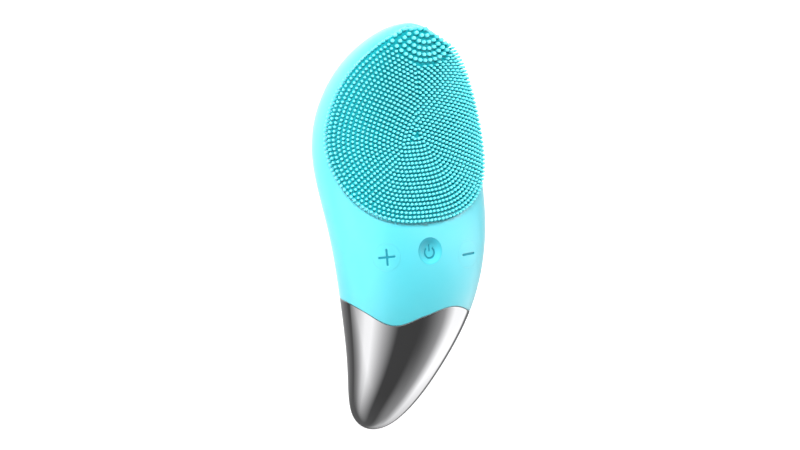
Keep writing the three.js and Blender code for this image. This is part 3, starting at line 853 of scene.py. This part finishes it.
def spread(nodes, links, value, low, high, start=0.3, end=0.7):
    """Spreads a value's run from start to end over the run from low to high."""
    node = nodes.new("ShaderNodeMapRange")
    node.inputs["From Min"].default_value = start
    node.inputs["From Max"].default_value = end
    node.inputs["To Min"].default_value = low
    node.inputs["To Max"].default_value = high
    links.new(value, node.inputs["Value"])
    return node.outputs["Result"]


def tinted(nodes, links, value, first, second):
    """Mixes two colours, either of which may be another node's output."""
    node = nodes.new("ShaderNodeMix")
    node.data_type = "RGBA"
    links.new(value, node.inputs["Factor"])
    for socket, color in ((node.inputs[6], first), (node.inputs[7], second)):
        if isinstance(color, tuple):
            socket.default_value = (*color, 1)
        else:
            links.new(color, socket)
    return node.outputs[2]


def bumped(nodes, links, shader, height, strength, distance):
    """Bumps a shader's surface by a height. The distance is in metres."""
    node = nodes.new("ShaderNodeBump")
    node.inputs["Strength"].default_value = strength
    node.inputs["Distance"].default_value = distance
    links.new(height, node.inputs["Height"])
    links.new(node.outputs["Normal"], shader.inputs["Normal"])


def silicone(name, first, second, roughness, glow, gloss=1.0, sheen=0.1, painted_root_shade=None):
    """Satin silicone: slightly translucent, with a fine matt skin and faint cloudiness.

    With a root colour it paints shade that deepens toward the foot of each bristle, where less
    light gets in, and a mesh that has no reach attribute, such as the bed, is in that painted shade
    all over.
    """
    material, nodes, links, shader, place = new_material(name, first, roughness)
    cloud = noise(nodes, links, place, scale=45, detail=3)
    color = tinted(nodes, links, cloud, first, second)
    if painted_root_shade:
        reach = nodes.new("ShaderNodeAttribute")
        reach.attribute_name = "reach"
        # Painted shade: the root colour at each bristle's foot, fading out toward its tip.
        depth = spread(nodes, links, reach.outputs["Fac"], 0, 1, start=0.25, end=0.95)
        color = tinted(nodes, links, depth, painted_root_shade, color)
    links.new(color, shader.inputs["Base Color"])
    shader.inputs["Subsurface Weight"].default_value = glow
    shader.inputs["Subsurface Radius"].default_value = (0.25, 1.0, 1.1)
    shader.inputs["Subsurface Scale"].default_value = 0.0025
    shader.inputs["Specular IOR Level"].default_value = gloss
    shader.inputs["Coat Weight"].default_value = gloss * 0.6
    shader.inputs["Coat Roughness"].default_value = 0.33
    shader.inputs["Sheen Weight"].default_value = sheen
    shader.inputs["Sheen Roughness"].default_value = 0.4
    grain = noise(nodes, links, place, scale=2600, detail=2)
    handling = noise(nodes, links, place, scale=160, detail=5)
    links.new(spread(nodes, links, handling, roughness - 0.05, roughness + 0.06),
              shader.inputs["Roughness"])
    bumped(nodes, links, shader, grain, strength=0.12, distance=0.00008)
    return material


def paint_shade_across(material, centre, across, shade):
    """Fades a material's colour from a painted shade on one side of a place to plain along across.
    """
    nodes, links = material.node_tree.nodes, material.node_tree.links
    color = nodes["Principled BSDF"].inputs["Base Color"]
    plain = color.links[0].from_socket
    away = nodes.new("ShaderNodeVectorMath")
    away.operation = "SUBTRACT"
    links.new(nodes.new("ShaderNodeTexCoord").outputs["Object"], away.inputs[0])
    away.inputs[1].default_value = centre
    along = nodes.new("ShaderNodeVectorMath")
    along.operation = "DOT_PRODUCT"
    links.new(away.outputs["Vector"], along.inputs[0])
    along.inputs[1].default_value = across
    depth = spread(nodes, links, along.outputs["Value"], 0, 1, start=-0.8, end=0.9)
    links.new(tinted(nodes, links, depth, shade, plain), color)
    return material


def dish_silicone_painted_shade(cyan, shade):
    """The power key's silicone, with painted shade on the wall of its dish nearest the head."""
    # Brighter than the body's silicone, as painted light on the dish's lit wall.
    bright = tuple(c * 1.12 for c in cyan)
    material = silicone("dish_silicone_painted_shade", bright, bright, roughness=0.45, glow=0.04, gloss=0.35)
    centre = to_row([*KEYS["power"], 0])
    reach = KEY_RADIUS * 0.001
    plain_way = (0.4, -0.92)
    across = (plain_way[0] / reach, plain_way[1] / reach, 0)
    return paint_shade_across(material, centre, across, shade)


def chrome_plate():
    """Bright plating with a little haze, faint orange peel and worn patches."""
    bright, worn = (0.57, 0.57, 0.58), (0.51, 0.51, 0.52)
    material, nodes, links, shader, place = new_material("chrome_plate", bright, 0.06, metallic=1)
    haze = noise(nodes, links, place, scale=90, detail=6)
    links.new(spread(nodes, links, haze, 0.03, 0.07), shader.inputs["Roughness"])
    tone = noise(nodes, links, place, scale=30, detail=2)
    links.new(tinted(nodes, links, tone, worn, bright), shader.inputs["Base Color"])
    peel = noise(nodes, links, place, scale=420, detail=2)
    bumped(nodes, links, shader, peel, strength=0.03, distance=0.00005)
    return material


def moulded(name, color, roughness):
    """Moulded plastic, foam or rubber: a fine grain and a slightly uneven tone."""
    material, nodes, links, shader, place = new_material(name, color, roughness)
    grain = noise(nodes, links, place, scale=1800, detail=3)
    dark = tuple(c * 0.86 for c in color)
    tone = noise(nodes, links, place, scale=70)
    links.new(tinted(nodes, links, tone, dark, color), shader.inputs["Base Color"])
    links.new(spread(nodes, links, grain, roughness - 0.07, roughness + 0.07),
              shader.inputs["Roughness"])
    bumped(nodes, links, shader, grain, strength=0.15, distance=0.00006)
    return material


def metal(name, color, roughness):
    """Bare metal or foil: faint wavy scratches and an uneven polish."""
    material, nodes, links, shader, place = new_material(name, color, roughness, metallic=1)
    scratch = nodes.new("ShaderNodeTexWave")
    scratch.inputs["Scale"].default_value = 900
    scratch.inputs["Distortion"].default_value = 6
    links.new(place, scratch.inputs["Vector"])
    polish = noise(nodes, links, place, scale=500)
    links.new(spread(nodes, links, polish, roughness * 0.7, roughness * 1.4),
              shader.inputs["Roughness"])
    bumped(nodes, links, shader, scratch.outputs["Fac"], strength=0.05, distance=0.00003)
    return material


def make_materials():
    """The looks by name. All but the dish and the symbol are the record's material slots."""
    cyan, pale_cyan = (0.063, 0.485, 0.565), (0.071, 0.505, 0.585)
    # The root colour is painted shade, at each bristle's foot and over the pad's bed.
    tip, pale_tip, painted_root_shade = (0.165, 0.84, 0.9), (0.185, 0.86, 0.92), (0.003, 0.3, 0.34)
    # The symbols' grooves are coloured a darker teal than the keys.
    symbol_dark, pale_symbol_dark = (0.011, 0.21, 0.28), (0.015, 0.24, 0.31)
    # Painted shade for the wall of the power key's dish nearest the head.
    dish_painted_shade = (0.022, 0.25, 0.32)
    return {
        "silicone": silicone("silicone", cyan, pale_cyan, roughness=0.4, glow=0.2, sheen=0.35),
        "bristle_silicone": silicone("bristle_silicone", tip, pale_tip, roughness=0.42, glow=0.1,
                                     gloss=0.25, sheen=0.04, painted_root_shade=painted_root_shade),
        "dish": dish_silicone_painted_shade(cyan, dish_painted_shade),
        "symbol": silicone("key_symbol", symbol_dark, pale_symbol_dark, roughness=0.5, glow=0.05, gloss=0.3),
        "chrome_plate": chrome_plate(),
        "seal_rubber": moulded("seal_rubber", (0.03, 0.03, 0.035), 0.75),
        "white_plastic": moulded("white_plastic", (0.78, 0.8, 0.8), 0.45),
        "black_plastic": moulded("black_plastic", (0.02, 0.02, 0.022), 0.5),
        "red_plastic": moulded("red_plastic", (0.55, 0.05, 0.04), 0.45),
        "lamp_plastic": moulded("lamp_plastic", (0.85, 0.88, 0.95), 0.2),
        "board_green": moulded("board_green", (0.02, 0.18, 0.07), 0.4),
        "steel": metal("steel", (0.55, 0.56, 0.58), 0.28),
        "gold": metal("gold", (0.85, 0.58, 0.22), 0.22),
        "cell_wrap": metal("cell_wrap", (0.5, 0.56, 0.62), 0.4),
        "foam": moulded("foam", (0.07, 0.075, 0.085), 0.95),
    }


def dress_cad_nodes(looks):
    """Gives each CAD node the look of its slot in the record."""
    for entry in frame["record"]["subparts"]:
        node = frame["nodes"][entry["node"]]
        node.data.materials.clear()
        node.data.materials.append(looks[entry["material_slot"]])


# ------------------------------------------------------------------ stage, light, camera

# Distances here are metres in the row frame, and powers are watts.
TABLE_SIZE = 6
TABLE_GLOW = 0.62
SOFT_LIGHT = 0.37
SOFTBOXES = [
    {"name": "left_softbox", "place": (-0.9, 0.25, 0.3), "size": (0.5, 1.0), "power": 6.5},
    {"name": "right_softbox", "place": (0.95, 0.1, 0.2), "size": (0.3, 1.2), "power": 9},
    {"name": "top_softbox", "place": (-0.5, 0.5, 0.95), "size": (0.4, 0.4), "power": 18},
]
LIT_PLACE = (0, 0, 0.02)

# The studio that the plating mirrors: long strips beside the tail, each edge given as the
# angle round the tail's own line from straight up, toward +X, and its brightness. Toward the
# foot of that line the strips give way to a darker shade.
STRIPS = [(-180, 1.7), (-150, 1.3), (-126, 0.45), (-112, 0.01), (-99, 0.01), (-93, 0.5),
          (-62, 1.05), (-40, 1.7), (-24, 1.75), (-2, 0.75), (14, 0.09), (30, 0.085),
          (42, 0.5), (54, 1.8), (82, 1.75), (91, 0.15), (120, 0.4), (150, 1.6), (180, 1.7)]
TAIL_SLOPE = math.radians(52)
TIP_SHADE = 0.16
SHADE_FULL, SHADE_GONE = -0.96, -0.55

# The camera stands over the body, turned to the -X side and tipped a little toward the head,
# so far away that its view has hardly any perspective.
VIEW_TURN = math.radians(30)
VIEW_TIP = math.radians(4)
VIEW_DISTANCE = 4.0
VIEW_WIDTH = 0.273
# How far right and up the middle of the view lies from the body's own origin, in millimetres.
VIEW_MIDDLE = (-3.07, 0.5)


def make_floor():
    """A white table that glows a little, so that it stays white under the brush."""
    bpy.ops.mesh.primitive_plane_add(size=TABLE_SIZE, location=(0, 0, 0))
    floor = bpy.context.object
    floor.name = "floor"
    paper = (0.93, 0.93, 0.93)
    material, _, _, shader, _ = new_material("floor_paper", paper, roughness=0.8)
    shader.inputs["Specular IOR Level"].default_value = 0.1
    shader.inputs["Emission Color"].default_value = (1, 1, 1, 1)
    shader.inputs["Emission Strength"].default_value = TABLE_GLOW
    floor.data.materials.append(material)
    floor.visible_glossy = False


def make_world():
    """An even white room for the soft light, and strips for everything that mirrors it."""
    world = bpy.data.worlds.new("studio")
    bpy.context.scene.world = world
    world.use_nodes = True
    nodes, links = world.node_tree.nodes, world.node_tree.links
    nodes.clear()
    way = nodes.new("ShaderNodeTexCoord")
    turned = nodes.new("ShaderNodeVectorRotate")
    turned.rotation_type = "X_AXIS"
    turned.inputs["Angle"].default_value = -TAIL_SLOPE
    links.new(way.outputs["Generated"], turned.inputs["Vector"])
    split = nodes.new("ShaderNodeSeparateXYZ")
    links.new(turned.outputs[0], split.inputs[0])
    around = nodes.new("ShaderNodeMath")
    around.operation = "ARCTAN2"
    links.new(split.outputs["X"], around.inputs[0])
    links.new(split.outputs["Z"], around.inputs[1])
    share = spread(nodes, links, around.outputs[0], 0, 1, start=-math.pi, end=math.pi)
    bands = nodes.new("ShaderNodeValToRGB")
    ramp = bands.color_ramp
    while len(ramp.elements) < len(STRIPS):
        ramp.elements.new(1)
    for element, (degrees, level) in zip(ramp.elements, STRIPS):
        element.position = (degrees + 180) / 360
        element.color = (level, level, level, 1)
    links.new(share, bands.inputs["Fac"])
    below = spread(nodes, links, split.outputs["Y"], 1, 0, start=SHADE_FULL, end=SHADE_GONE)
    shade = (TIP_SHADE, TIP_SHADE, TIP_SHADE)
    mirrored = nodes.new("ShaderNodeBackground")
    links.new(tinted(nodes, links, below, bands.outputs["Color"], shade), mirrored.inputs["Color"])
    soft = nodes.new("ShaderNodeBackground")
    soft.inputs["Color"].default_value = (1, 1, 1, 1)
    soft.inputs["Strength"].default_value = SOFT_LIGHT
    path = nodes.new("ShaderNodeLightPath")
    mix = nodes.new("ShaderNodeMixShader")
    links.new(path.outputs["Is Glossy Ray"], mix.inputs["Fac"])
    links.new(soft.outputs[0], mix.inputs[1])
    links.new(mirrored.outputs[0], mix.inputs[2])
    out = nodes.new("ShaderNodeOutputWorld")
    links.new(mix.outputs[0], out.inputs["Surface"])


def softbox(name, place, size, power):
    """A soft light that no mirrored ray sees."""
    data = bpy.data.lights.new(name, "AREA")
    data.shape = "RECTANGLE"
    data.size, data.size_y = size
    data.energy = power
    light = bpy.data.objects.new(name, data)
    light.location = place
    light.visible_glossy = False
    light.rotation_euler = (Vector(LIT_PLACE) - Vector(place)).to_track_quat("-Z", "Y").to_euler()
    bpy.context.scene.collection.objects.link(light)


def make_camera():
    """Looks down on the body from the -X side, with the head at the top of the view."""
    right = Vector((math.cos(VIEW_TURN), 0, math.sin(VIEW_TURN)))
    up = Vector((math.sin(VIEW_TURN) * math.sin(VIEW_TIP), math.cos(VIEW_TIP),
                 -math.cos(VIEW_TURN) * math.sin(VIEW_TIP)))
    back = right.cross(up)
    own_target = right * VIEW_MIDDLE[0] + up * VIEW_MIDDLE[1]
    target = Vector(to_row([own_target])[0])
    data = bpy.data.cameras.new("camera")
    data.lens = data.sensor_width * VIEW_DISTANCE / VIEW_WIDTH
    camera = bpy.data.objects.new("camera", data)
    camera.matrix_world = Matrix((
        (right.x, up.x, back.x, target.x + back.x * VIEW_DISTANCE),
        (right.y, up.y, back.y, target.y + back.y * VIEW_DISTANCE),
        (right.z, up.z, back.z, target.z + back.z * VIEW_DISTANCE),
        (0, 0, 0, 1)))
    bpy.context.scene.collection.objects.link(camera)
    bpy.context.scene.camera = camera


# ------------------------------------------------------------------ assembly

looks = make_materials()
dress_cad_nodes(looks)

silicone_sleeve(looks["silicone"])
chromed_tail(looks["chrome_plate"])
pad_skin([looks["bristle_silicone"], looks["silicone"]])

developed = Developed()
fine_places, thick_places = bristle_places(developed)
bristles("fine_bristles", fine_places, developed, FINE_PROFILE, sides=10,
         material=looks["bristle_silicone"], seed=1)
bristles("thick_bristles", thick_places, developed, THICK_PROFILE, sides=14,
         material=looks["bristle_silicone"], seed=2)

key_looks = [looks["silicone"], looks["symbol"]]
key_cap("plus", plus_outline(), key_looks)
key_cap("power", power_outline(), [looks["dish"], looks["symbol"]])
key_cap("minus", minus_outline(), key_looks)

make_floor()
make_world()
for light in SOFTBOXES:
    softbox(**light)
make_camera()
bpy.context.scene.view_settings.view_transform = "Standard"
